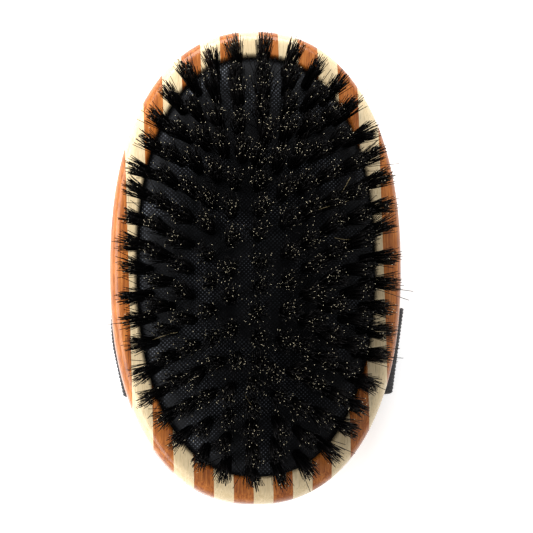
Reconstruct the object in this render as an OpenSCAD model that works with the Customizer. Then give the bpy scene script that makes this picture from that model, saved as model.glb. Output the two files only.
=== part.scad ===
// Oval palm brush with an air cushion and an elastic hand strap.
// It lies on its back, bristles up: +Z up, +Y along the body away from the strap.
// The origin is on the surface it lies on, below the middle of the body.

/* [Wooden body] */
// Length along Y
body_l = 134.7; // [128:0.1:140]
// Width along X
body_w = 82.7; // [80:0.1:86]
// Thickness from the back to the rim
body_t = 21; // [20.5:0.5:24]
// Squareness of the oval outline, where 2 is an ellipse
oval_power = 2.26; // [2:0.01:2.5]
// Width of the rim from the outline to the cushion's opening
rim_w = 7.6; // [7:0.1:9]
// Radius of the rim's outer edge
rim_round = 3.5; // [3:0.1:5]
// Radius of the rim's inner edge
rim_inner_round = 1.2; // [0.8:0.1:1.4]
// Height that the back curves up from its middle to the flank
back_rise = 11; // [9:0.5:12]
// Fullness of the back's curve, where 2 is an ellipse
back_power = 2.6; // [2.2:0.1:3]
// Depth of the air chamber below the rim
chamber_d = 12; // [11.5:0.5:12]

/* [Lamination] */
// Number of glued bamboo strips, dark ones outermost
strip_count = 15; // [15:2:15]
// Width of one strip
strip_w = 5.56; // [5.56:0.01:5.8]
// Turn of the strips from the body's long axis, in degrees
strip_skew = 1.86; // [0:0.1:3]

/* [Cushion] */
// Height of the dome over its own edge
dome_h = 8; // [6:0.5:8.5]
// Flatness of the dome's crown, where 2 is a parabola
dome_power = 2.4; // [2.2:0.1:3]
// Thickness of the rubber membrane
rubber_t = 1.6; // [1.2:0.1:2]
// Thickness of the canvas facing
canvas_t = 0.5; // [0.3:0.1:0.8]
// Gap between the cushion and the wood
cushion_gap = 0.35; // [0.3:0.05:0.6]

/* [Bristles] */
// Tufts in each ring, from the outer ring inwards
ring_tufts = [42, 36, 30, 24, 18];
// Tufts in the row along the middle
core_tufts = 9; // [7:1:10]
// Shift to the right of the tuft at the +Y end of each ring
tuft_shift = 1.6; // [0:0.1:3]
// Distance from the cushion's edge to the outer ring
ring_margin = 3.3; // [3:0.1:4]
// Distance from one ring to the next
ring_pitch = 5.6; // [5.2:0.1:5.8]
// Length of the bristles above the cushion
bristle_l = 16; // [12:0.5:18]
// Radius of a tuft where it leaves the cushion
tuft_root_r = 1.4; // [1:0.1:1.6]
// Radius of a tuft at its cut end
tuft_tip_r = 2.1; // [1.6:0.1:2.4]

/* [Hand strap] */
// Width of the elastic
strap_w = 25; // [20:1:26]
// Thickness of the elastic
strap_t = 1.6; // [1.2:0.1:1.8]
// Gap between the back and the strap
strap_gap = 7.4; // [6:0.2:9]
// Place of the strap's ends along Y
strap_y = -23.5; // [-26:0.5:-20]
// Reach of the arch to each side, at the middle of its thickness
strap_reach = 39.2; // [38.8:0.1:39.6]
// Shift of the arch to the right
strap_shift = 0.6; // [0:0.1:0.7]
// How far the strap bows towards +Y between its ends
strap_bow = 3.5; // [0:0.5:4]
// Diameter of the brads that hold the strap
brad_d = 1.2; // [1:0.1:1.4]

/* [Hidden] */
outline_steps = 88;      // points round the oval
back_steps = 7;          // rings from the back's middle to the flank
edge_steps = 4;          // rings round the rim's outer edge
dome_rings = 6;          // rings from the dome's crown to its edge
backing_rings = 4;       // the same, in the backing sheet
strap_steps = 16;        // stations along each half of the strap
clear = 0.1;             // fit between pieces that lock together
a = body_w / 2;
b = body_l / 2;
back_z = strap_t + strap_gap;
rim_z = back_z + body_t;
floor_z = rim_z - chamber_d;
groove_top = rim_z - 3;   // the bead's groove runs below the rim
groove_h = 1.9;
groove_d = 1.6;
bead_in = 2;             // how far the bead stands in from the opening
dome_edge = rim_w + cushion_gap;
dome_z = rim_z - 2.6;    // underside of the dome at its edge
shell_t = rubber_t + canvas_t;
edge_share = 0.15;       // thickness left at the dome's edge, as a share
edge_power = 12;         // how close to the edge the dome's layers pinch together
ring_spread = 0.8;       // below 1 moves a domed sheet's rings towards its edge
floor_ring = 0.5;        // size of the ring halfway across the chamber's floor
lip_step = 0.3;          // the mid point of the rim's inner edge, as a share
root_depth = 3.6;        // how far the tufts reach below the facing
anchor_d = 0.5;
anchor_l = 2.2;
backing_t = 0.8;
backing_drop = 5.4;      // from the facing down to the backing sheet
backing_share = 0.9;     // size of the backing sheet to the dome
strap_z = back_z + 6.2;  // middle of the strap in its slots
slot_h = 2.9;
slot_drop = 1.9;         // from the middle of the strap down to the slot's floor
slot_w = strap_w + 1.2;
slot_in = 29.5;          // inner end of the slots
strap_in = 31.2;         // inner end of the strap
slotted_strips = 3;      // strips that a slot runs into, on each side
slot_turn = 10;          // turn of the slots, square to the flank
strap_bend = 2.2;        // radius where the strap turns down at the flank
bend_lead = 1;           // straight run left before that turn
arch_power = 2.6;
brad_x = 33.2;
brad_gap = 14;           // between the two brads of one side
brad_hole_d = brad_d + 0.6;
brad_head_r = 1.2;
brad_head_t = 0.5;
brad_proud = 0.2;        // how far the heads stand out of the wood or the strap
brad_end_z = floor_z - 0.5;

function strip_name(i) = str("strip_", i < 10 ? "0" : "", i);
function ring_name(k) = str("tufts_ring_", k);

// ---- outline ----

// A number to a power that keeps its sign
function spow(v, p) = sign(v) * pow(abs(v), p);
// The oval at angle t
function oval(t) = [a * spow(cos(t), 2 / oval_power), b * spow(sin(t), 2 / oval_power)];
// Its outward normal there
function oval_normal(t) =
    let (n = [spow(cos(t), 2 - 2 / oval_power) / a, spow(sin(t), 2 - 2 / oval_power) / b])
    n / norm(n);
// A point set in from the outline by d, square to it
function inset(t, d) = oval(t) - d * oval_normal(t);
function step_angle(i, n) = 360 * i / n;
// A closed ring, inset by d, scaled by s about the middle, at height z
function ring(d, s, z) =
    [for (i = [0:outline_steps - 1])
        let (p = inset(step_angle(i, outline_steps), d) * s) [p.x, p.y, z]];

// Number of point i of ring k in a solid of rings
function at(k, i) = 1 + k * outline_steps + i % outline_steps;

// A closed solid from rings, with a pole below the first and another below or above the last
module ring_solid(rings, first_z, last_z) {
    n = outline_steps;
    m = len(rings);
    points = concat([[0, 0, first_z]], [for (r = rings) each r], [[0, 0, last_z]]);
    last = len(points) - 1;
    polyhedron(points, concat(
        [for (i = [0:n - 1]) [0, at(0, i), at(0, i + 1)]],
        [for (k = [0:m - 2], i = [0:n - 1]) [at(k, i), at(k + 1, i), at(k + 1, i + 1)]],
        [for (k = [0:m - 2], i = [0:n - 1]) [at(k, i), at(k + 1, i + 1), at(k, i + 1)]],
        [for (i = [0:n - 1]) [last, at(m - 1, i + 1), at(m - 1, i)]]
    ), convexity = 6);
}

// ---- wooden body ----

function back_height(s) = back_z + back_rise * (1 - pow(1 - pow(s, back_power), 1 / back_power));

module body_blank() {
    ring_solid(concat(
        [for (k = [1:back_steps])
            let (s = pow(sin(90 * k / back_steps), 2 / back_power)) ring(0, s, back_height(s))],
        [for (k = [0:edge_steps])
            let (f = 90 * k / edge_steps)
            ring(rim_round * (1 - cos(f)), 1, rim_z - rim_round * (1 - sin(f)))],
        [ring(rim_w - rim_inner_round, 1, rim_z),
         ring(rim_w - lip_step * rim_inner_round, 1, rim_z - lip_step * rim_inner_round),
         ring(rim_w, 1, rim_z - rim_inner_round),
         ring(rim_w, 1, groove_top),
         ring(rim_w - groove_d, 1, groove_top),
         ring(rim_w - groove_d, 1, groove_top - groove_h),
         ring(rim_w, 1, groove_top - groove_h),
         ring(rim_w, 1, floor_z),
         ring(rim_w, floor_ring, floor_z)]
    ), back_z, floor_z);
}

// The slot for one end of the strap, side is 1 on the right and -1 on the left
module strap_slot(side) {
    translate([side * slot_in, strap_line_y(slot_in), strap_z - slot_drop])
        mirror([side < 0 ? 1 : 0, 0, 0])
            rotate([0, 0, -slot_turn])
                translate([0, -slot_w / 2, 0])
                    cube([a, slot_w, slot_h]);
}

module strip(i) {
    from_middle = i - (strip_count + 1) / 2;
    color(i % 2 == 1 ? "sienna" : "wheat")
        difference() {
            intersection() {
                body_blank();
                rotate([0, 0, strip_skew])
                    translate([(from_middle - 0.5) * strip_w, -body_l, 0])
                        cube([strip_w, 2 * body_l, rim_z + 1]);
            }
            if (i <= slotted_strips) strap_slot(-1);
            if (i > strip_count - slotted_strips) strap_slot(1);
        }
}

// ---- cushion ----

// Height of a domed layer, drop below the facing's top, s from 0 at the crown to 1.
// The rubber and its facing pinch together at the edge.
function dome_height(s, drop) = dome_z + dome_h * (1 - pow(s, dome_power))
    + (shell_t - min(drop, shell_t)) * (1 - (1 - edge_share) * pow(s, edge_power))
    - max(drop - shell_t, 0);

// A domed sheet, its top at the given drop, from the crown out to the share s_max of the dome
module domed_sheet(drop, thick, s_max = 1, steps = dome_rings) {
    rings = [for (k = [1:steps]) s_max * pow(k / steps, ring_spread)];
    ring_solid(concat(
        [for (s = rings) ring(dome_edge, s, dome_height(s, drop + thick))],
        [for (k = [steps - 1:-1:0]) ring(dome_edge, rings[k], dome_height(rings[k], drop))]
    ), dome_height(0, drop + thick), dome_height(0, drop));
}

module cushion_bead() {
    color("#222222")
        translate([0, 0, groove_top - groove_h + clear])
            linear_extrude(groove_h - 2 * clear)
                difference() {
                    polygon(bead_outline(rim_w - groove_d + clear));
                    polygon(bead_outline(rim_w + bead_in));
                }
}
function bead_outline(d) = [for (p = ring(d, 1, 0)) [p.x, p.y]];

module cushion_dome() {
    color("#2b2b2b") domed_sheet(canvas_t, rubber_t);
}

module canvas_facing() {
    color("#3c4250") domed_sheet(0, canvas_t);
}

module backing_sheet() {
    color("#55504a") domed_sheet(backing_drop, backing_t, backing_share, backing_rings);
}

// ---- bristles ----

// A point at angle t of the oval ring of tufts at inset d
function tuft_oval(t, d) =
    [(a - d) * spow(cos(t), 2 / oval_power), (b - d) * spow(sin(t), 2 / oval_power)];
// Share of the way from the crown to the dome's edge at a point p
function dome_share(p) =
    pow(pow(abs(p.x) / (a - dome_edge), oval_power) + pow(abs(p.y) / (b - dome_edge), oval_power),
        1 / oval_power);
// The dome's upward normal at a point p of share s
function dome_normal(p, s) =
    let (slope = dome_h * dome_power * pow(s, dome_power - 1),
         u = [p.x / (a - dome_edge), p.y / (b - dome_edge)],
         g = [u.x / (a - dome_edge), u.y / (b - dome_edge)] / max(norm(u), 0.001),
         n = [slope * g.x, slope * g.y, 1])
    n / norm(n);

// Draws its children at a tuft's root below point p, turned so that +Z runs up the tuft
module at_tuft(p) {
    s = dome_share(p);
    n = dome_normal(p, s);
    translate([p.x, p.y, dome_height(s, 0)] - root_depth * n)
        rotate([0, acos(n.z), atan2(n.y, n.x)])
            children();
}

// Length along the ring up to each of its fine steps, for even spacing
fine = 180;
function ring_lengths(d) =
    let (p = [for (i = [0:fine]) tuft_oval(90 + 360 * i / fine, d)])
    [for (i = 0, sum = 0; i <= fine;
        sum = sum + (i < fine ? norm(p[i + 1] - p[i]) : 0), i = i + 1) sum];
// Angles of n tufts evenly spaced along the ring at inset d, the last one at its +Y end
function even_angles(d, n) =
    let (lengths = ring_lengths(d), total = lengths[fine])
    [for (j = [1:n]) 90 + lookup_angle(lengths, total * j / n - tuft_shift)];
function lookup_angle(lengths, want) =
    360 / fine * lookup(want, [for (i = [0:fine]) [lengths[i], i]]);

module tuft() {
    cylinder(h = root_depth + bristle_l, r1 = tuft_root_r, r2 = tuft_tip_r, $fn = 16);
}

module anchor() {
    translate([0, 0, anchor_d])
        rotate([90, 0, 0])
            cylinder(h = anchor_l, d = anchor_d, center = true, $fn = 16);
}

function ring_inset(k) = dome_edge + ring_margin + (k - 1) * ring_pitch;

// Draws its children at every tuft of ring k
module on_ring(k) {
    d = ring_inset(k);
    for (t = even_angles(d, ring_tufts[k - 1]))
        at_tuft(tuft_oval(t, d)) children();
}

// Draws its children at every tuft of the middle row
module on_core() {
    half = b - ring_inset(len(ring_tufts) + 1);
    for (j = [0:core_tufts - 1])
        at_tuft([0, half * (2 * j / (core_tufts - 1) - 1)]) children();
}

module tufts_ring(k) {
    color("#1c1a18") on_ring(k) tuft();
}

module tufts_core() {
    color("#1c1a18") on_core() tuft();
}

module tuft_anchors() {
    color("#b0b0b0") {
        for (k = [1:len(ring_tufts)]) on_ring(k) anchor();
        on_core() anchor();
    }
}

// ---- hand strap ----

// The strap's middle line bows towards +Y between its ends
function strap_line_y(x) = strap_y + strap_bow * (1 - pow(x / strap_reach, 2));
function strap_turn(x) = atan(2 * strap_bow * x / pow(strap_reach, 2));

// Right half of the strap's middle line in X and Z, from the end in the slot to the crown
function half_line() =
    let (bend_z = strap_z - strap_bend, drop = bend_z - strap_t / 2)
    concat(
        [[strap_in, strap_z], [strap_reach - strap_bend - bend_lead, strap_z]],
        [for (f = [0:22.5:90])
            [strap_reach - strap_bend * (1 - sin(f)), bend_z + strap_bend * cos(f)]],
        [for (k = [1:strap_steps])
            let (f = 90 * k / strap_steps)
            [strap_reach * pow(abs(cos(f)), 2 / arch_power), bend_z - drop * pow(sin(f), 2 / arch_power)]]
    );
function mirrored(half) = concat(half, [for (i = [len(half) - 2:-1:0]) [-half[i].x, half[i].y]]);

// The four corners of the strap's section at station i of its line
function strap_section(line, i) =
    let (ahead = line[min(i + 1, len(line) - 1)] - line[max(i - 1, 0)],
         along = ahead / norm(ahead),
         out = [-along.y, 0, along.x] * strap_t / 2,
         turn = strap_turn(line[i].x),
         wide = [sin(turn), cos(turn), 0] * strap_w / 2,
         mid = [line[i].x + strap_shift, strap_line_y(line[i].x), line[i].y])
    [mid + out + wide, mid + out - wide, mid - out - wide, mid - out + wide];

module strap_solid() {
    line = mirrored(half_line());
    m = len(line);
    polyhedron([for (i = [0:m - 1]) each strap_section(line, i)], concat(
        [[3, 2, 1, 0]],
        [for (i = [0:m - 2], j = [0:3])
            [4 * i + j, 4 * i + (j + 1) % 4, 4 * i + 4 + (j + 1) % 4, 4 * i + 4 + j]],
        [[4 * m - 4, 4 * m - 3, 4 * m - 2, 4 * m - 1]]
    ), convexity = 4);
}

// Where the brads are, two on each side
function brad_places() =
    [for (side = [-1, 1], end = [-1, 1])
        [side * brad_x + strap_shift, strap_line_y(brad_x) + end * brad_gap / 2]];
// Share of the way from the back's middle to the outline at a point p
function body_share(p) =
    pow(pow(abs(p.x) / a, oval_power) + pow(abs(p.y) / b, oval_power), 1 / oval_power);
// A brad's head lies on the back, or under the strap where the slot is open
function brad_head_z(p) =
    min(back_height(body_share(p)), strap_z - strap_t / 2 - brad_head_t) - brad_proud;

module hand_strap() {
    color("#1a1a1c")
        difference() {
            strap_solid();
            for (p = brad_places())
                translate([p.x, p.y, strap_z - strap_t])
                    cylinder(h = 2 * strap_t, d = brad_hole_d, $fn = 24);
        }
}

module strap_brads() {
    color("#a8a49c")
        for (p = brad_places())
            translate([p.x, p.y, brad_head_z(p)]) {
                cylinder(h = brad_end_z - brad_head_z(p), d = brad_d, $fn = 24);
                cylinder(h = brad_head_t, r = brad_head_r, $fn = 24);
            }
}

for (i = [1:strip_count])
    strip(i);
cushion_bead();
cushion_dome();
canvas_facing();
backing_sheet();
tuft_anchors();
for (k = [1:len(ring_tufts)])
    tufts_ring(k);
tufts_core();
hand_strap();
strap_brads();
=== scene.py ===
import math
import bmesh
import bpy
import numpy as np
from mathutils import Matrix, Vector


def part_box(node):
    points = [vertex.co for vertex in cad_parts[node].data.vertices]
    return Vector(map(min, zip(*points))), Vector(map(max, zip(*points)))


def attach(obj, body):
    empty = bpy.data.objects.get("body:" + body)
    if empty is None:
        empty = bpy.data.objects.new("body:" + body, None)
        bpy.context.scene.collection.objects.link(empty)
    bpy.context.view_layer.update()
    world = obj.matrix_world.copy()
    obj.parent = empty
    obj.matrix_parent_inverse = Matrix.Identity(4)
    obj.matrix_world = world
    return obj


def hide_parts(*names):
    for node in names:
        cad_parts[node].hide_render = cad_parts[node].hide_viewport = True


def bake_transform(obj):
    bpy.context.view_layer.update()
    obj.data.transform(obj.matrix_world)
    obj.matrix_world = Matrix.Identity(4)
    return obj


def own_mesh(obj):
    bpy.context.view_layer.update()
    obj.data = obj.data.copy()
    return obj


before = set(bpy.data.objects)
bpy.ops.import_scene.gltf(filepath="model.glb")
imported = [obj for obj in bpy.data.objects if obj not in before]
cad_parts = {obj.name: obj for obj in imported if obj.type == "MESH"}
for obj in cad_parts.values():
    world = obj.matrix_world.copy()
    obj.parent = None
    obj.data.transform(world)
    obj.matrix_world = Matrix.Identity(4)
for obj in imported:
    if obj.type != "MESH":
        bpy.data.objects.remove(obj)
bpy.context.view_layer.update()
MM = 0.001


# ---------------------------------------------------------------- dimensions, in mm
def box_mm(node):
    """Lowest and highest corner of a CAD node, in millimetres."""
    low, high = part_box(node)
    return np.array(low) / MM, np.array(high) / MM


STRIPS = [f"strip_{i:02d}" for i in range(1, 16)]
body_low = np.min([box_mm(n)[0] for n in STRIPS], axis=0)
body_high = np.max([box_mm(n)[1] for n in STRIPS], axis=0)
HALF_W = (body_high[0] - body_low[0]) / 2
HALF_L = (body_high[1] - body_low[1]) / 2
BACK_Z = body_low[2]
RIM_Z = body_high[2]

OVAL_POWER = 2.26
RIM_W = 7.6
RIM_ROUND = 3.5
RIM_INNER_ROUND = 1.2
BACK_RISE = 11.0
BACK_POWER = 2.6
FLOOR_Z = RIM_Z - 12.0
GROOVE_TOP = RIM_Z - 3.0
GROOVE_H = 1.9
GROOVE_D = 1.6
STRIP_W = 5.56
STRIP_SKEW = math.radians(1.86)

DOME_EDGE = RIM_W + 0.35
DOME_H = 8.0
DOME_POWER = 2.4
RUBBER_T = 1.6
CANVAS_T = 0.5
DOME_Z = RIM_Z - 2.6
SHELL_T = RUBBER_T + CANVAS_T
EDGE_SHARE = 0.15

RING_TUFTS = [42, 36, 30, 24, 18]
CORE_TUFTS = 9
TUFT_SHIFT = 1.6
RING_MARGIN = 3.3
RING_PITCH = 5.6
BRISTLE_L = 16.0

STRAP_W = 25.0
STRAP_T = 1.6
STRAP_Y = -23.5
STRAP_REACH = 39.2
STRAP_SHIFT = 0.6
STRAP_BOW = 3.5
STRAP_Z = BACK_Z + 6.2
STRAP_IN = 31.2
STRAP_BEND = 2.2
ARCH_POWER = 2.6
SLOT_IN = 29.5
SLOT_H = 2.9
SLOT_DROP = 1.9
SLOTTED_STRIPS = 3
SLOT_W = STRAP_W + 1.2
SLOT_TURN = math.radians(10)


# ---------------------------------------------------------------- the oval
OVAL_SAMPLES = 20001                 # fine steps that measure the way round


def spow(v, p):
    return np.sign(v) * np.abs(v) ** p


def oval_points(n, half_w=HALF_W, half_l=HALF_L, start=0.0, back=0.0):
    """n points evenly spaced round an oval, and their normals. The last is back mm before angle start."""
    t = start + np.linspace(0, 2 * math.pi, OVAL_SAMPLES)
    e = 2 / OVAL_POWER
    p = np.stack([half_w * spow(np.cos(t), e), half_l * spow(np.sin(t), e)], axis=1)
    length = np.concatenate([[0], np.cumsum(np.linalg.norm(np.diff(p, axis=0), axis=1))])
    want = length[-1] * np.arange(1, n + 1) / n - back
    angle = np.interp(want, length, t)
    p = np.stack([half_w * spow(np.cos(angle), e), half_l * spow(np.sin(angle), e)], axis=1)
    g = np.stack([spow(np.cos(angle), 2 - e) / half_w, spow(np.sin(angle), 2 - e) / half_l], axis=1)
    return p, g / np.linalg.norm(g, axis=1, keepdims=True)


# ---------------------------------------------------------------- mesh helpers
def make_object(name, points_mm, faces, smooth=True):
    """A mesh object from points in millimetres."""
    mesh = bpy.data.meshes.new(name)
    mesh.from_pydata((np.asarray(points_mm) * MM).tolist(), [], faces)
    mesh.update()
    if smooth:
        mesh.shade_smooth()
    obj = bpy.data.objects.new(name, mesh)
    bpy.context.scene.collection.objects.link(obj)
    return obj


def object_from_arrays(name, points_mm, face_arrays, smooth=True):
    """A mesh object from an array of points in millimetres and arrays of faces of equal size."""
    mesh = bpy.data.meshes.new(name)
    loops = np.concatenate([f.ravel() for f in face_arrays]).astype(np.int32)
    sizes = np.concatenate([np.full(len(f), f.shape[1]) for f in face_arrays])
    starts = np.concatenate([[0], np.cumsum(sizes)[:-1]]).astype(np.int32)
    mesh.vertices.add(len(points_mm))
    mesh.vertices.foreach_set("co", (points_mm * MM).ravel())
    mesh.loops.add(len(loops))
    mesh.loops.foreach_set("vertex_index", loops)
    mesh.polygons.add(len(sizes))
    mesh.polygons.foreach_set("loop_start", starts)
    mesh.update(calc_edges=True)
    mesh.validate()
    if smooth:
        mesh.shade_smooth()
    obj = bpy.data.objects.new(name, mesh)
    bpy.context.scene.collection.objects.link(obj)
    return obj


def ring_solid(profile, steps):
    """Points and faces of a closed solid of rings: profile lists (inset, scale, z) from the bottom pole."""
    p, n = oval_points(steps)
    points = [(0.0, 0.0, profile[0][2])]
    for inset, scale, z in profile[1:-1]:
        q = (p - inset * n) * scale
        points += [(x, y, z) for x, y in q]
    points.append((0.0, 0.0, profile[-1][2]))
    rings = len(profile) - 2
    last = len(points) - 1

    def at(k, i):
        return 1 + k * steps + i % steps

    faces = [(0, at(0, i + 1), at(0, i)) for i in range(steps)]
    for k in range(rings - 1):
        faces += [(at(k, i), at(k, i + 1), at(k + 1, i + 1), at(k + 1, i)) for i in range(steps)]
    faces += [(last, at(rings - 1, i), at(rings - 1, i + 1)) for i in range(steps)]
    return points, faces


def piece(obj, body, slot, *replaced):
    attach(obj, body)
    if replaced:
        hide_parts(*replaced)


# ---------------------------------------------------------------- material helpers
class Nodes:
    """A short way to build a node material."""

    def __init__(self, name):
        self.mat = bpy.data.materials.new(name)
        self.mat.use_nodes = True
        self.tree = self.mat.node_tree
        self.bsdf = self.tree.nodes["Principled BSDF"]

    def node(self, kind, **settings):
        n = self.tree.nodes.new(kind)
        for k, v in settings.items():
            setattr(n, k, v)
        return n

    def link(self, a, b):
        self.tree.links.new(a, b)

    def set(self, **values):
        """Plain numbers and colours on the shader's own sockets."""
        for k, v in values.items():
            self.bsdf.inputs[k.replace("_", " ")].default_value = v

    def value(self, source, socket):
        if isinstance(source, bpy.types.NodeSocket):
            self.link(source, socket)
        else:
            socket.default_value = source

    def math(self, op, a, b=0.5, clamp=False):
        n = self.node("ShaderNodeMath", operation=op, use_clamp=clamp)
        self.value(a, n.inputs[0])
        self.value(b, n.inputs[1])
        return n.outputs[0]

    def coords(self, scale=(1, 1, 1), turn=0.0, move=(0, 0, 0)):
        """Object coordinates in mm, scaled, then turned about Z and moved."""
        c = self.node("ShaderNodeTexCoord").outputs["Object"]
        m = self.node("ShaderNodeMapping", vector_type="POINT")
        m.inputs["Location"].default_value = move
        m.inputs["Rotation"].default_value = (0, 0, turn)
        m.inputs["Scale"].default_value = [1000 * s for s in scale]
        self.link(c, m.inputs["Vector"])
        return m.outputs[0]

    def noise(self, vector, scale=1.0, detail=3.0, rough=0.5):
        n = self.node("ShaderNodeTexNoise")
        n.inputs["Scale"].default_value = scale
        n.inputs["Detail"].default_value = detail
        n.inputs["Roughness"].default_value = rough
        self.link(vector, n.inputs["Vector"])
        return n.outputs["Fac"]

    def ramp(self, fac, stops):
        n = self.node("ShaderNodeValToRGB")
        while len(n.color_ramp.elements) < len(stops):
            n.color_ramp.elements.new(0.5)
        for e, (pos, colour) in zip(n.color_ramp.elements, stops):
            e.position = pos
            e.color = (*colour, 1)
        self.link(fac, n.inputs["Fac"])
        return n.outputs["Color"]

    def mix(self, fac, a, b, blend="MIX"):
        n = self.node("ShaderNodeMix", data_type="RGBA", blend_type=blend)
        self.value(fac, n.inputs["Factor"])
        for source, socket in ((a, n.inputs["A"]), (b, n.inputs["B"])):
            if isinstance(source, tuple):
                socket.default_value = (*source, 1)
            else:
                self.link(source, socket)
        return n.outputs["Result"]

    def bump(self, height, distance_mm, strength=1.0):
        n = self.node("ShaderNodeBump")
        n.inputs["Strength"].default_value = strength
        n.inputs["Distance"].default_value = distance_mm * MM
        self.link(height, n.inputs["Height"])
        self.link(n.outputs[0], self.bsdf.inputs["Normal"])


def gray(v):
    return (v, v, v)


# ---------------------------------------------------------------- materials
DARK = [
    (0.0, (0.12, 0.026, 0.004)),
    (0.38, (0.27, 0.070, 0.010)),
    (0.58, (0.42, 0.128, 0.021)),
    (1.0, (0.62, 0.24, 0.058)),
]
LIGHT = [
    (0.0, (0.44, 0.29, 0.13)),
    (0.38, (0.64, 0.49, 0.28)),
    (0.58, (0.73, 0.58, 0.355)),
    (1.0, (0.84, 0.71, 0.49)),
]
FIBRES = (2.1, 0.05, 2.1)            # noise scales per mm; low in Y, which draws the pattern out lengthwise
FINE_FIBRES = (6.5, 0.35, 6.5)
BLOTCHES = (0.45, 0.14, 0.45)
FLECKS = (4.2, 0.22, 4.2)
CANVAS_TONES = [                     # from the gaps of the weave, painted dark as shade, to its crowns, painted pale as highlight
    (0.2, (0.0018, 0.002, 0.0027)),
    (0.5, (0.0048, 0.0055, 0.0072)),
    (0.72, (0.0095, 0.011, 0.0145)),
    (0.97, (0.15, 0.165, 0.195)),
]
PALE_TONE = 0.95                     # a bristle of a higher tone has a pale tip
PICK_PITCH = 0.8                     # from one pick of the elastic to the next, in mm


def bamboo(name, stops, seed, tint, contrast):
    """Laminated bamboo under a clear lacquer: lengthwise fibres, flecks and blotches."""
    m = Nodes(name)
    shift = (seed * 7.3, seed * 3.1, 0)
    fibre = m.noise(m.coords(FIBRES, -STRIP_SKEW, shift), 1, 4, 0.62)
    fine = m.noise(m.coords(FINE_FIBRES, -STRIP_SKEW, shift), 1, 2, 0.6)
    blotch = m.noise(m.coords(BLOTCHES, -STRIP_SKEW, shift), 1, 3, 0.55)
    total = m.math("ADD", m.math("MULTIPLY", fibre, 0.9 * contrast), m.math("MULTIPLY", fine, 0.5 * contrast))
    total = m.math("ADD", total, m.math("MULTIPLY", blotch, 0.5 * contrast))
    total = m.math("ADD", total, 0.5 + tint - 0.95 * contrast)
    colour = m.ramp(total, stops)
    flecks = m.noise(m.coords(FLECKS, -STRIP_SKEW, shift), 1, 2, 0.7)
    colour = m.mix(0.55, colour, m.ramp(flecks, [(0.36, gray(0.5)), (0.44, gray(1.0))]), "MULTIPLY")
    m.link(colour, m.bsdf.inputs["Base Color"])
    m.link(m.ramp(fine, [(0.3, gray(0.30)), (0.7, gray(0.42))]), m.bsdf.inputs["Roughness"])
    m.set(Coat_Weight=0.4, Coat_Roughness=0.12, Coat_IOR=1.5, Specular_IOR_Level=0.2)
    m.bump(m.math("ADD", fine, fibre), 0.03, 0.5)
    return m.mat


def rubber(name):
    m = Nodes(name)
    n = m.noise(m.coords((2.5, 2.5, 2.5)), 1, 4)
    m.link(m.ramp(n, [(0.3, gray(0.010)), (0.7, gray(0.020))]), m.bsdf.inputs["Base Color"])
    m.link(m.ramp(n, [(0.3, gray(0.55)), (0.7, gray(0.7))]), m.bsdf.inputs["Roughness"])
    m.bump(n, 0.05, 0.5)
    return m.mat


def canvas(name):
    """Plain weave over rubber: thread crowns painted pale as highlight in a checkerboard, over gaps painted
    dark as shade.
    """
    m = Nodes(name)
    k = math.pi / THREAD
    split = m.node("ShaderNodeSeparateXYZ")
    m.link(m.coords((k, k, k)), split.inputs[0])
    waves = m.math("MULTIPLY", m.math("SINE", split.outputs[0], 0), m.math("SINE", split.outputs[1], 0))
    crown = m.math("ADD", m.math("MULTIPLY", waves, 0.5), 0.5)
    # patches where the painted crown highlight is stronger or weaker
    crown_patches = m.noise(m.coords((0.10, 0.10, 0.10)), 1, 3)
    grain = m.noise(m.coords((6, 6, 6)), 1, 2)
    level = m.math("MULTIPLY", crown, m.ramp(crown_patches, [(0.35, gray(0.6)), (0.65, gray(1.0))]))
    colour = m.ramp(level, CANVAS_TONES)
    colour = m.mix(0.4, colour, m.ramp(grain, [(0.3, gray(0.6)), (0.7, gray(1.2))]), "MULTIPLY")
    m.link(colour, m.bsdf.inputs["Base Color"])
    m.set(Roughness=0.8, Specular_IOR_Level=0.2, Sheen_Weight=0.04, Sheen_Roughness=0.5)
    return m.mat


def hair(name, root, tip):
    """Natural bristle: the tone changes from one to the next, and the highest tones have a tip colour."""
    m = Nodes(name)
    along = m.node("ShaderNodeAttribute", attribute_name="along").outputs["Fac"]
    tone = m.node("ShaderNodeAttribute", attribute_name="tone").outputs["Fac"]
    shaft = m.mix(tone, root, tuple(2.2 * v for v in root))
    edge = m.ramp(along, [(1 - PALE_TIP, gray(0.0)), (1 - 0.5 * PALE_TIP, gray(1.0))])
    pale = m.math("GREATER_THAN", tone, PALE_TONE)
    colour = m.mix(m.math("MULTIPLY", edge, pale), shaft, tip)
    m.link(colour, m.bsdf.inputs["Base Color"])
    m.set(Roughness=0.45, IOR=1.45, Specular_IOR_Level=0.35)
    return m.mat


def elastic(name):
    m = Nodes(name)
    c = m.coords((1, 1, 1))
    split = m.node("ShaderNodeSeparateXYZ")
    m.link(c, split.inputs[0])
    way = m.math("ADD", split.outputs[0], split.outputs[2])
    picks = m.math("SINE", m.math("MULTIPLY", way, 2 * math.pi / PICK_PITCH), 0)
    n = m.noise(m.coords((3, 3, 3)), 1, 3)
    level = m.math("ADD", m.math("MULTIPLY", picks, 0.15), n)
    m.link(m.ramp(level, [(0.25, gray(0.004)), (0.8, (0.019, 0.017, 0.021))]), m.bsdf.inputs["Base Color"])
    m.set(Roughness=0.8, Sheen_Weight=0.25, Sheen_Roughness=0.4)
    m.bump(level, 0.05, 0.8)
    return m.mat


def metal(name):
    m = Nodes(name)
    n = m.noise(m.coords((4, 4, 4)), 1, 4)
    m.link(m.ramp(n, [(0.3, gray(0.42)), (0.7, (0.62, 0.60, 0.56))]), m.bsdf.inputs["Base Color"])
    m.link(m.ramp(n, [(0.3, gray(0.28)), (0.7, gray(0.45))]), m.bsdf.inputs["Roughness"])
    m.set(Metallic=1.0)
    return m.mat


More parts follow.
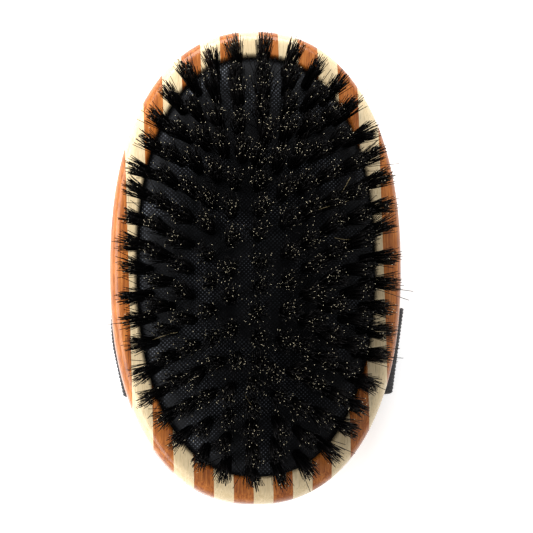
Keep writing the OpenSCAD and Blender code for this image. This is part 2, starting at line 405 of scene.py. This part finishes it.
def felt(name):
    m = Nodes(name)
    n = m.noise(m.coords((2, 2, 2)), 1, 5)
    m.link(m.ramp(n, [(0.3, (0.05, 0.045, 0.04)), (0.7, (0.13, 0.12, 0.105))]), m.bsdf.inputs["Base Color"])
    m.set(Roughness=0.9, Sheen_Weight=0.3)
    m.bump(n, 0.15, 0.7)
    return m.mat


# ---------------------------------------------------------------- wooden body
OUTLINE_STEPS = 420
BACK_STEPS = 30
EDGE_STEPS = 14
LIP_STEPS = 6
FLOOR_RING = 0.5                     # size of the ring halfway across the chamber's floor
TINT_SPREAD = 0.05                   # how much the strips differ in tone
TINT_SEED = 5
DARK_CONTRAST = 1.3
LIGHT_CONTRAST = 0.75
WOOD_SHARP = 32                      # edges of more degrees than this stay sharp


def arc(n):
    """The n + 1 angles that divide a quarter turn."""
    return [math.radians(90 * k / n) for k in range(n + 1)]


def body_profile():
    back = [(0.0, 0.0, BACK_Z)]
    for f in arc(BACK_STEPS)[1:]:
        s = math.sin(f) ** (2 / BACK_POWER)
        back.append((0.0, s, BACK_Z + BACK_RISE * (1 - max(1 - s ** BACK_POWER, 0) ** (1 / BACK_POWER))))
    edge = [(RIM_ROUND * (1 - math.cos(f)), 1.0, RIM_Z - RIM_ROUND * (1 - math.sin(f)))
            for f in arc(EDGE_STEPS)]
    lip = [(RIM_W - RIM_INNER_ROUND * (1 - math.sin(f)), 1.0, RIM_Z - RIM_INNER_ROUND * (1 - math.cos(f)))
           for f in arc(LIP_STEPS)]
    chamber = [
        (RIM_W, 1.0, GROOVE_TOP),
        (RIM_W - GROOVE_D, 1.0, GROOVE_TOP),
        (RIM_W - GROOVE_D, 1.0, GROOVE_TOP - GROOVE_H),
        (RIM_W, 1.0, GROOVE_TOP - GROOVE_H),
        (RIM_W, 1.0, FLOOR_Z),
        (RIM_W, FLOOR_RING, FLOOR_Z),
        (0.0, 0.0, FLOOR_Z),
    ]
    return back + edge + lip + chamber


def strap_line_y(x):
    """Y of the strap's middle line, which bows towards +Y in its middle."""
    return STRAP_Y + STRAP_BOW * (1 - (x / STRAP_REACH) ** 2)


def slot_cutter(side):
    """The milled slot for one end of the strap."""
    points = []
    for x in (0, HALF_W):
        for y in (-SLOT_W / 2, SLOT_W / 2):
            for z in (-SLOT_DROP, SLOT_H - SLOT_DROP):
                px = x * math.cos(SLOT_TURN) + y * math.sin(SLOT_TURN)
                py = -x * math.sin(SLOT_TURN) + y * math.cos(SLOT_TURN)
                points.append((side * (SLOT_IN + px), strap_line_y(SLOT_IN) + py, STRAP_Z + z))
    faces = [(0, 1, 3, 2), (4, 6, 7, 5), (0, 4, 5, 1), (2, 3, 7, 6), (0, 2, 6, 4), (1, 5, 7, 3)]
    return make_object("slot_cutter", points, faces, smooth=False)


def cut_strip(blank, left, right):
    """The part of the blank between two planes across the lamination, closed where it was cut."""
    bm = blank.copy()
    across = Vector((math.cos(STRIP_SKEW), math.sin(STRIP_SKEW), 0))
    for at, sign in ((left, -1), (right, 1)):
        geom = bm.verts[:] + bm.edges[:] + bm.faces[:]
        cut = bmesh.ops.bisect_plane(bm, geom=geom, dist=1e-7, plane_co=across * at * MM,
                                     plane_no=across * sign, clear_outer=True)
        edges = [e for e in cut["geom_cut"] if isinstance(e, bmesh.types.BMEdge)]
        bmesh.ops.triangle_fill(bm, use_beauty=True, use_dissolve=False, edges=edges, normal=across * sign)
    bmesh.ops.recalc_face_normals(bm, faces=bm.faces[:])
    return bm


def make_body():
    points, faces = ring_solid(body_profile(), OUTLINE_STEPS)
    blank = bmesh.new()
    verts = [blank.verts.new([c * MM for c in p]) for p in points]
    for f in faces:
        blank.faces.new([verts[i] for i in f])
    tints = np.random.default_rng(TINT_SEED).uniform(-TINT_SPREAD, TINT_SPREAD, len(STRIPS))
    cutters = {-1: slot_cutter(-1), 1: slot_cutter(1)}
    for i, node in enumerate(STRIPS):
        left = (i - (len(STRIPS) - 1) / 2 - 0.5) * STRIP_W
        bm = cut_strip(blank, left, left + STRIP_W)
        mesh = bpy.data.meshes.new(f"wood_{node}")
        bm.to_mesh(mesh)
        bm.free()
        obj = bpy.data.objects.new(f"wood_{node}", mesh)
        bpy.context.scene.collection.objects.link(obj)
        side = -1 if i < SLOTTED_STRIPS else 1 if i >= len(STRIPS) - SLOTTED_STRIPS else 0
        if side:
            boolean = obj.modifiers.new("slot", "BOOLEAN")
            boolean.operation = "DIFFERENCE"
            boolean.solver = "EXACT"
            boolean.object = cutters[side]
            apply_modifiers(obj)
        dark = i % 2 == 0
        smooth_by_angle(obj, WOOD_SHARP)
        obj.data.materials.clear()
        stops, contrast = (DARK, DARK_CONTRAST) if dark else (LIGHT, LIGHT_CONTRAST)
        obj.data.materials.append(bamboo(f"bamboo_{node}", stops, i + 1, tints[i], contrast))
        piece(obj, "body", "bamboo_dark" if dark else "bamboo_light", node)
    for c in cutters.values():
        bpy.data.objects.remove(c)
    blank.free()


def apply_modifiers(obj):
    """Bakes an object's modifiers into its mesh."""
    bpy.context.view_layer.update()
    made = bpy.data.meshes.new_from_object(obj.evaluated_get(bpy.context.evaluated_depsgraph_get()))
    obj.modifiers.clear()
    obj.data = made


def smooth_by_angle(obj, degrees):
    """Smooth shading, with edges over this angle kept sharp."""
    mesh = obj.data
    mesh.shade_smooth()
    mesh.set_sharp_from_angle(angle=math.radians(degrees))


# ---------------------------------------------------------------- cushion
THREAD = 0.58                        # from one thread of the canvas to the next
WEAVE_DEPTH = 0.14
UNDERSIDE_RINGS = 6
WEAVE_FADE = 0.02                    # share of the dome over which the weave's relief fades at its edge
EDGE_POWER = 12                      # how close to the edge the dome's layers pinch together
DOME_STEPS = 240
DOME_RINGS = 24
RING_CROWDING = 0.9                  # below 1 moves the dome's rings towards its edge
RUBBER_SHARP = 50


def dome_height(s, drop):
    """Z of the dome at share s of the way to its edge, for the layer drop mm below the canvas's top."""
    s = np.asarray(s, float)
    return (DOME_Z + DOME_H * (1 - s ** DOME_POWER)
            + (SHELL_T - min(drop, SHELL_T)) * (1 - (1 - EDGE_SHARE) * s ** EDGE_POWER))


def dome_share(x, y):
    """How far a point is from the dome's middle: 1 at the dome's edge."""
    return ((np.abs(x) / (HALF_W - DOME_EDGE)) ** OVAL_POWER
            + (np.abs(y) / (HALF_L - DOME_EDGE)) ** OVAL_POWER) ** (1 / OVAL_POWER)


def dome_normal(x, y):
    s = dome_share(x, y)
    slope = DOME_H * DOME_POWER * s ** (DOME_POWER - 1)
    ux, uy = x / (HALF_W - DOME_EDGE), y / (HALF_L - DOME_EDGE)
    r = max(math.hypot(ux, uy), 0.001)
    n = np.array([slope * ux / (HALF_W - DOME_EDGE) / r, slope * uy / (HALF_L - DOME_EDGE) / r, 1.0])
    return n / np.linalg.norm(n)


def domed_sheet(name, drop, thick, steps, rings):
    shares = [math.sin(math.pi / 2 * k / rings) ** RING_CROWDING for k in range(1, rings + 1)]
    profile = [(0.0, 0.0, float(dome_height(0, drop + thick)))]
    profile += [(DOME_EDGE, s, float(dome_height(s, drop + thick))) for s in shares]
    profile += [(DOME_EDGE, s, float(dome_height(s, drop))) for s in reversed(shares)]
    profile.append((0.0, 0.0, float(dome_height(0, drop))))
    points, faces = ring_solid(profile, steps)
    obj = make_object(name, points, faces)
    smooth_by_angle(obj, RUBBER_SHARP)
    return obj


def woven_sheet(name):
    """The canvas facing: a weave of thread crowns on top, and a smooth closed underside."""
    step = THREAD / 2
    nx, ny = int(HALF_W / step), int(HALF_L / step)
    i, j = np.meshgrid(np.arange(-nx, nx + 1), np.arange(-ny, ny + 1), indexing="ij")
    x, y = i * step, j * step
    s = dome_share(x, y)
    crown = np.sin(math.pi * x / THREAD) * np.sin(math.pi * y / THREAD)
    pull = 1 / np.maximum(s, 1)
    inside = s < 1
    kept = inside[:-1, :-1] | inside[1:, :-1] | inside[1:, 1:] | inside[:-1, 1:]
    fade = np.clip((1 - s) / WEAVE_FADE, 0, 1)
    z = dome_height(np.minimum(s, 1), 0) + WEAVE_DEPTH * (crown - 1) / 2 * fade
    number = np.arange(x.size).reshape(x.shape)
    quads = np.stack([number[:-1, :-1], number[1:, :-1], number[1:, 1:], number[:-1, 1:]], axis=-1)[kept]
    used, quads = np.unique(quads, return_inverse=True)
    quads = quads.reshape(-1, 4)
    top = np.stack([(x * pull).ravel(), (y * pull).ravel(), z.ravel()], axis=1)[used]
    rim = np.flatnonzero(~inside.ravel()[used])
    rim = rim[np.argsort(np.arctan2(top[rim, 1], top[rim, 0]))]
    n = len(rim)
    shares = np.linspace(1, 0, UNDERSIDE_RINGS + 1)[:-1]
    under = [np.column_stack([top[rim, :2] * q, np.full(n, float(dome_height(q, CANVAS_T)))]) for q in shares]
    points = np.concatenate([top, *under, [[0, 0, float(dome_height(0, CANVAS_T))]]])
    loops = [rim] + [len(top) + k * n + np.arange(n) for k in range(UNDERSIDE_RINGS)]
    walls = [np.stack([b, np.roll(b, -1), np.roll(a, -1), a], axis=1) for a, b in zip(loops, loops[1:])]
    last = loops[-1]
    fan = np.stack([np.full(n, len(points) - 1), np.roll(last, -1), last], axis=1)
    return object_from_arrays(name, points, [np.concatenate([quads, *walls]), fan])


def make_cushion():
    rubber_dome = domed_sheet("rubber_dome", CANVAS_T, RUBBER_T, DOME_STEPS, DOME_RINGS)
    rubber_dome.data.materials.append(rubber("cushion_rubber_mat"))
    piece(rubber_dome, "body", "cushion_rubber", "cushion_dome")
    facing = woven_sheet("woven_canvas")
    facing.data.materials.append(canvas("canvas_mat"))
    piece(facing, "body", "canvas", "canvas_facing")
    for obj in (rubber_dome, facing):
        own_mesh(obj)


# ---------------------------------------------------------------- bristles
SHAFT_RINGS = 5
SIDES = 3
SECTION_SIDE = (0.31, 0.95, 0.07)    # the direction that the bristles' cross-sections are turned by
BRISTLES = 98                        # in each tuft
BRISTLE_R = 0.125
TAPER = 0.22                         # how much thinner a bristle is at its tip, as a share
ROOT_DEPTH = 1.2                     # how far a bristle starts below the canvas
TUFT_ROOT_R = 1.3
GOLDEN_ANGLE = 2.39996
LEAN_JITTER = 0.045
SPLAY = math.radians(3.9)
SPLAY_JITTER = math.radians(1.7)
FAN = np.array([1.12, 1.4, 1.0])     # the tufts fan out more than the cushion's slope, most at the ends
WILD_SHARE = 0.015                   # bristles that stand out of their tuft
WILD_LEAN = (0.08, 0.30)             # least and greatest extra lean of those, in radians
PALE_TIP = 0.012                     # length of the pale cut tip, as a share
PALE_GROWTH = (0.55, 1.15)           # least and greatest width of a pale tip, to that of a dark one
# For each ring from the outer one, then the middle row: the share of pale tips, and how far tufts open
PALE_SHARE = [0.07, 0.12, 0.16, 0.2, 0.22, 0.22]
SPREAD = [0.8, 0.9, 1.1, 1.3, 1.45, 1.5]
TURN_JITTER = 0.25
OPENING = (0.8, 1.25)                # least and greatest opening of a bristle, to its tuft's
OPENING_POWER = 1.3
LENGTH_MEAN = 1.02                   # these three as shares of the bristles' length
LENGTH_JITTER = 0.025
SHORT_JITTER = 0.075
BEND_OUT = 0.1                       # mean bend of a bristle away from its tuft's middle, in mm
BEND_JITTER = (0.5, 0.45)            # of the bend outwards and round the tuft, in mm
BRISTLE_SEED = 100
DARK_TONES = 0.9                     # highest tone of a bristle with a dark tip
BRISTLE_COLOUR = (0.0035, 0.003, 0.003)
TIP_COLOUR = (0.80, 0.70, 0.48)
STRAY_SEED = 31
STRAY_RINGS = 9
STRAY_R = 0.13
STRAY_TAPER = 0.5
STRAY_CURL = 1.2                     # greatest bow of a stray bristle, in mm
STRAY_FOOT = 4.0                     # height of its lower end over the canvas, in mm
STRAY_RISE = 9.0
STRAY_COLOUR = (0.34, 0.27, 0.14)
# Stray bristles: start as shares of the half width and half length, heading in degrees, length in mm
STRAYS = [(0.49, 0.22, 52, 10), (-0.74, -0.33, 20, 8), (-0.09, -0.55, 290, 5), (0.50, -0.53, 310, 6),
          (0.66, 0.27, 200, 12), (0.68, 0.10, 195, 7), (0.2, 0.72, 60, 6)]


def tuft_places():
    """For each tuft node, the points where its tufts leave the cushion."""
    places = {}
    for k, count in enumerate(RING_TUFTS):
        inset = DOME_EDGE + RING_MARGIN + k * RING_PITCH
        p, _ = oval_points(count, HALF_W - inset, HALF_L - inset, math.pi / 2, TUFT_SHIFT)
        places[f"tufts_ring_{k + 1}"] = p
    half = HALF_L - DOME_EDGE - RING_MARGIN - len(RING_TUFTS) * RING_PITCH
    y = half * np.linspace(-1, 1, CORE_TUFTS)
    places["tufts_core"] = np.stack([0 * y, y], axis=1)
    return places


def bristle_paths(place, rng, count, spread):
    """Middle lines of a tuft's bristles: count x SHAFT_RINGS x 3 points, and the share along each ring."""
    n = dome_normal(*place)
    foot = np.array([place[0], place[1], float(dome_height(dome_share(*place), 0))])
    lean = n * FAN + rng.normal(0, LEAN_JITTER, 3)
    lean /= np.linalg.norm(lean)
    side = np.cross(lean, (0.0, 1.0, 0.0))
    side /= np.linalg.norm(side)
    other = np.cross(lean, side)
    k = np.arange(count)
    r = np.sqrt((k + 0.5) / count)
    a = rng.uniform(0, 2 * math.pi) + k * GOLDEN_ANGLE + rng.normal(0, TURN_JITTER, count)
    radial = np.cos(a)[:, None] * side + np.sin(a)[:, None] * other
    tangent = -np.sin(a)[:, None] * side + np.cos(a)[:, None] * other
    root = foot - ROOT_DEPTH * lean + TUFT_ROOT_R * r[:, None] * radial
    opening = SPLAY * rng.uniform(*OPENING) * r ** OPENING_POWER
    splay = spread * (opening + rng.normal(0, SPLAY_JITTER, count))
    splay += np.where(rng.random(count) < WILD_SHARE, rng.uniform(*WILD_LEAN, count), 0)
    direction = lean + np.tan(splay)[:, None] * radial + rng.normal(0, SPLAY_JITTER, (count, 1)) * tangent
    direction /= np.linalg.norm(direction, axis=1, keepdims=True)
    uneven = LENGTH_MEAN + rng.normal(0, LENGTH_JITTER, count) - np.abs(rng.normal(0, SHORT_JITTER, count))
    length = (BRISTLE_L + ROOT_DEPTH) * uneven
    bend = rng.normal(BEND_OUT, BEND_JITTER[0], (count, 1)) * radial
    bend = bend + rng.normal(0, BEND_JITTER[1], (count, 1)) * tangent
    u = np.linspace(0, 1, SHAFT_RINGS)
    u[-2] = 1 - PALE_TIP
    path = (root[:, None, :] + direction[:, None, :] * (length[:, None] * u)[:, :, None]
            + bend[:, None, :] * (u ** 2)[None, :, None])
    return path, u


def bristle_mesh(name, paths, u, tones, widths):
    """One mesh of thin three-sided bristles round their middle lines; widths is count x rings."""
    count, rings = paths.shape[:2]
    ahead = np.gradient(paths, axis=1)
    ahead /= np.linalg.norm(ahead, axis=2, keepdims=True)
    e1 = np.cross(ahead, SECTION_SIDE)
    e1 /= np.linalg.norm(e1, axis=2, keepdims=True)
    e2 = np.cross(ahead, e1)
    pts = np.empty((count, rings, SIDES, 3))
    for j in range(SIDES):
        f = 2 * math.pi * j / SIDES
        pts[:, :, j] = paths + widths[:, :, None] * (math.cos(f) * e1 + math.sin(f) * e2)
    per = rings * SIDES
    quads = np.array([(r * SIDES + j, r * SIDES + (j + 1) % SIDES,
                       (r + 1) * SIDES + (j + 1) % SIDES, (r + 1) * SIDES + j)
                      for r in range(rings - 1) for j in range(SIDES)])
    caps = np.array([[0, 2, 1], [per - 3, per - 2, per - 1]])
    base = (np.arange(count) * per)[:, None, None]
    faces = [(quads + base).reshape(-1, 4), (caps + base).reshape(-1, 3)]
    obj = object_from_arrays(name, pts.reshape(-1, 3), faces)
    for label, data in (("along", np.broadcast_to(u[None, :, None], (count, rings, SIDES))),
                        ("tone", np.broadcast_to(tones[:, None, None], (count, rings, SIDES)))):
        att = obj.data.attributes.new(label, "FLOAT", "POINT")
        att.data.foreach_set("value", np.ascontiguousarray(data, dtype=np.float32).ravel())
    return obj


def make_bristles():
    mat = hair("bristle_mat", BRISTLE_COLOUR, TIP_COLOUR)
    for row, (node, places) in enumerate(tuft_places().items()):
        rng = np.random.default_rng(BRISTLE_SEED + row)
        paths = []
        for place in places:
            path, u = bristle_paths(place, rng, BRISTLES, SPREAD[row])
            paths.append(path)
        paths = np.concatenate(paths)
        tones = rng.random(len(paths))
        widths = np.broadcast_to(BRISTLE_R * (1 - TAPER * u), paths.shape[:2]).copy()
        pale = rng.random(len(paths)) < PALE_SHARE[row]
        tones = np.where(pale, 1.0, DARK_TONES * tones)
        widths[pale, -2:] *= rng.uniform(*PALE_GROWTH, (np.count_nonzero(pale), 1))
        obj = bristle_mesh(f"bristles_{node}", paths, u, tones, widths)
        obj.data.materials.append(mat)
        piece(obj, "bristle_field", "bristle", node)


def make_strays():
    """A few long blond bristles that lie crossways over the cushion."""
    rng = np.random.default_rng(STRAY_SEED)
    paths = []
    for along_x, along_y, heading, length in STRAYS:
        x0, y0 = along_x * HALF_W, along_y * HALF_L
        f = math.radians(heading)
        q = np.linspace(0, 1, STRAY_RINGS)
        curl = rng.uniform(-STRAY_CURL, STRAY_CURL)
        x = x0 + length * q * math.cos(f) - curl * q ** 2 * math.sin(f)
        y = y0 + length * q * math.sin(f) + curl * q ** 2 * math.cos(f)
        z = dome_height(np.minimum(dome_share(x, y), 1), 0) + STRAY_FOOT + STRAY_RISE * q
        paths.append(np.stack([x, y, z], axis=1))
    u = np.linspace(0, 1, STRAY_RINGS)
    widths = np.full((len(paths), STRAY_RINGS), STRAY_R) * (1 - STRAY_TAPER * u)
    obj = bristle_mesh("stray_bristles", np.array(paths), u, np.zeros(len(paths)), widths)
    obj.data.materials.append(hair("stray_mat", STRAY_COLOUR, STRAY_COLOUR))
    piece(obj, "bristle_field", "bristle")


# ---------------------------------------------------------------- hand strap
STRAP_RIBS = 24
BULGE = 0.85                         # how far the worn strap stands out past the slots' line, on each side
BULGE_RIGHT = 0.30                   # and how much more of it is on the right
STRAP_SLANT = 0.0175                 # rise of the strap's line to the right
STRAP_TWIST = math.radians(2.3)      # its right side turned in and its left side turned out
CURL = 1.9                           # its left side's upper edge drawn in to the wood
RIB_STEPS = 8
RIB_FLOOR = 0.74                     # thickness between two ribs, as a share
SLOT_RUN_STEPS = 8                   # points in the slot, then steps round the bend and along half the arch
BEND_STEPS = 8
ARCH_STEPS = 56
BEND_LEAD = 0.3                      # straight run left before the bend
STRAP_EDGE = 0.02                    # half of the thickness at the strap's edges
STRAP_SHARP = 60


def strap_half_line():
    bend_z = STRAP_Z - STRAP_BEND
    drop = bend_z - STRAP_T / 2
    e = 2 / ARCH_POWER
    run_end = STRAP_REACH - STRAP_BEND - BEND_LEAD
    line = [(x, STRAP_Z) for x in np.linspace(STRAP_IN, run_end, SLOT_RUN_STEPS)]
    line += [(STRAP_REACH - STRAP_BEND * (1 - math.sin(f)), bend_z + STRAP_BEND * math.cos(f))
             for f in arc(BEND_STEPS)]
    line += [(STRAP_REACH * max(math.cos(f), 0) ** e, bend_z - drop * math.sin(f) ** e)
             for f in arc(ARCH_STEPS)[1:]]
    return line


def make_strap():
    half = strap_half_line()
    line = np.array(half + [(-x, z) for x, z in reversed(half[:-1])])
    ahead = np.gradient(line, axis=0)
    ahead /= np.linalg.norm(ahead, axis=1, keepdims=True)
    v = np.linspace(-0.5, 0.5, STRAP_RIBS * RIB_STEPS + 1)
    round_off = np.clip((0.5 - np.abs(v)) * STRAP_W / (STRAP_T / 2), 0, 1)
    envelope = np.sqrt(1 - (1 - round_off) ** 2)
    wave = 0.5 + 0.5 * np.cos(2 * math.pi * STRAP_RIBS * (v + 0.5) + math.pi)
    thick = STRAP_T / 2 * (envelope * (RIB_FLOOR + (1 - RIB_FLOOR) * np.sqrt(wave)))
    thick[[0, -1]] = STRAP_EDGE
    section = [(a * STRAP_W, t) for a, t in zip(v, thick)]
    section += [(a * STRAP_W, -t) for a, t in zip(v[::-1], thick[::-1])]
    n = len(section)
    points = []
    for (x, z), (dx, dz) in zip(line, ahead):
        out = x / STRAP_REACH
        free = np.clip((STRAP_Z - z) / STRAP_BEND, 0, 1)
        turn = math.atan(2 * STRAP_BOW * x / STRAP_REACH ** 2) - free * abs(out) * STRAP_TWIST
        mid_x = x + STRAP_SHIFT + free * (BULGE * out + BULGE_RIGHT)
        mid_y = strap_line_y(x) + free * STRAP_SLANT * x
        for w, t in section:
            curl = free * max(-out, 0) ** 4 * CURL * max(2 * w / STRAP_W, 0) ** 2
            side = mid_x + curl - dz * t + w * math.sin(turn)
            points.append((side, mid_y + w * math.cos(turn), z + dx * t))
    m = len(line)
    faces = [(i * n + j, i * n + (j + 1) % n, (i + 1) * n + (j + 1) % n, (i + 1) * n + j)
             for i in range(m - 1) for j in range(n)]
    faces += [tuple(range(n))[::-1], tuple(range((m - 1) * n, m * n))]
    obj = make_object("elastic_strap", points, faces)
    smooth_by_angle(obj, STRAP_SHARP)
    obj.data.materials.append(elastic("elastic_mat"))
    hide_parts("hand_strap")
    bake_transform(obj)


# ---------------------------------------------------------------- carried-over CAD nodes
def paint(node, mat):
    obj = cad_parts[node]
    obj.data.materials.clear()
    obj.data.materials.append(mat)


# ---------------------------------------------------------------- stage
FLOOR_HALF = 3.0                     # metres
FLOOR_GLOW = 0.45                    # keeps the floor white round the brush
WORLD_LIGHT = 0.6
LENS = 250                           # millimetres, on a sensor 36 wide
SENSOR = 36
VIEW_WIDTH = 151.64                  # what the picture takes in at the target, in millimetres
VIEW_TARGET = (3.16, 0.11, 25.0)
LEAN_DOWN = math.radians(5.7)        # the camera's lean from straight above, towards -Y and -X
LEAN_LEFT = math.radians(3.0)


def make_stage():
    mesh = bpy.data.meshes.new("floor")
    size = FLOOR_HALF
    corners = [(-size, -size, 0), (size, -size, 0), (size, size, 0), (-size, size, 0)]
    mesh.from_pydata(corners, [], [(0, 1, 2, 3)])
    floor = bpy.data.objects.new("floor", mesh)
    bpy.context.scene.collection.objects.link(floor)
    m = Nodes("floor_mat")
    m.set(Base_Color=(0.9, 0.9, 0.9, 1), Roughness=0.6)
    m.set(Emission_Color=(1, 1, 1, 1), Emission_Strength=FLOOR_GLOW)
    floor.data.materials.append(m.mat)

    world = bpy.data.worlds.new("studio")
    bpy.context.scene.world = world
    world.use_nodes = True
    back = world.node_tree.nodes["Background"]
    back.inputs["Color"].default_value = (1, 1, 1, 1)
    back.inputs["Strength"].default_value = WORLD_LIGHT

    def area(name, place, size, power, aim=(0, 0, 0.02)):
        """A panel light, in metres and watts."""
        light = bpy.data.lights.new(name, "AREA")
        light.shape = "RECTANGLE"
        light.size, light.size_y = size
        light.energy = power
        obj = bpy.data.objects.new(name, light)
        obj.location = place
        obj.rotation_euler = (Vector(aim) - Vector(place)).to_track_quat("-Z", "Y").to_euler()
        bpy.context.scene.collection.objects.link(obj)

    area("top_panel", (-0.12, 0.60, 0.42), (0.8, 0.4), 8.0)
    area("left_panel", (-0.60, -0.10, 0.36), (0.9, 0.36), 6.0)


def make_camera():
    cam = bpy.data.cameras.new("camera")
    cam.lens = LENS
    cam.sensor_width = SENSOR
    cam.clip_end = 10
    obj = bpy.data.objects.new("camera", cam)
    bpy.context.scene.collection.objects.link(obj)
    distance = VIEW_WIDTH * MM * LENS / SENSOR
    back = Vector((-math.sin(LEAN_LEFT), -math.sin(LEAN_DOWN), 1)).normalized()
    obj.location = Vector(VIEW_TARGET) * MM + back * distance
    right = Vector((0, 1, 0)).cross(back).normalized()
    up = back.cross(right)
    obj.rotation_euler = Matrix((right, up, back)).transposed().to_euler()
    bpy.context.scene.camera = obj


make_camera()
make_body()
make_cushion()
make_bristles()
make_strays()
make_strap()
paint("cushion_bead", rubber("bead_mat"))
paint("backing_sheet", felt("backing_mat"))
paint("tuft_anchors", metal("anchor_mat"))
paint("strap_brads", metal("brad_mat"))
make_stage()
bpy.context.scene.view_settings.view_transform = "Standard"
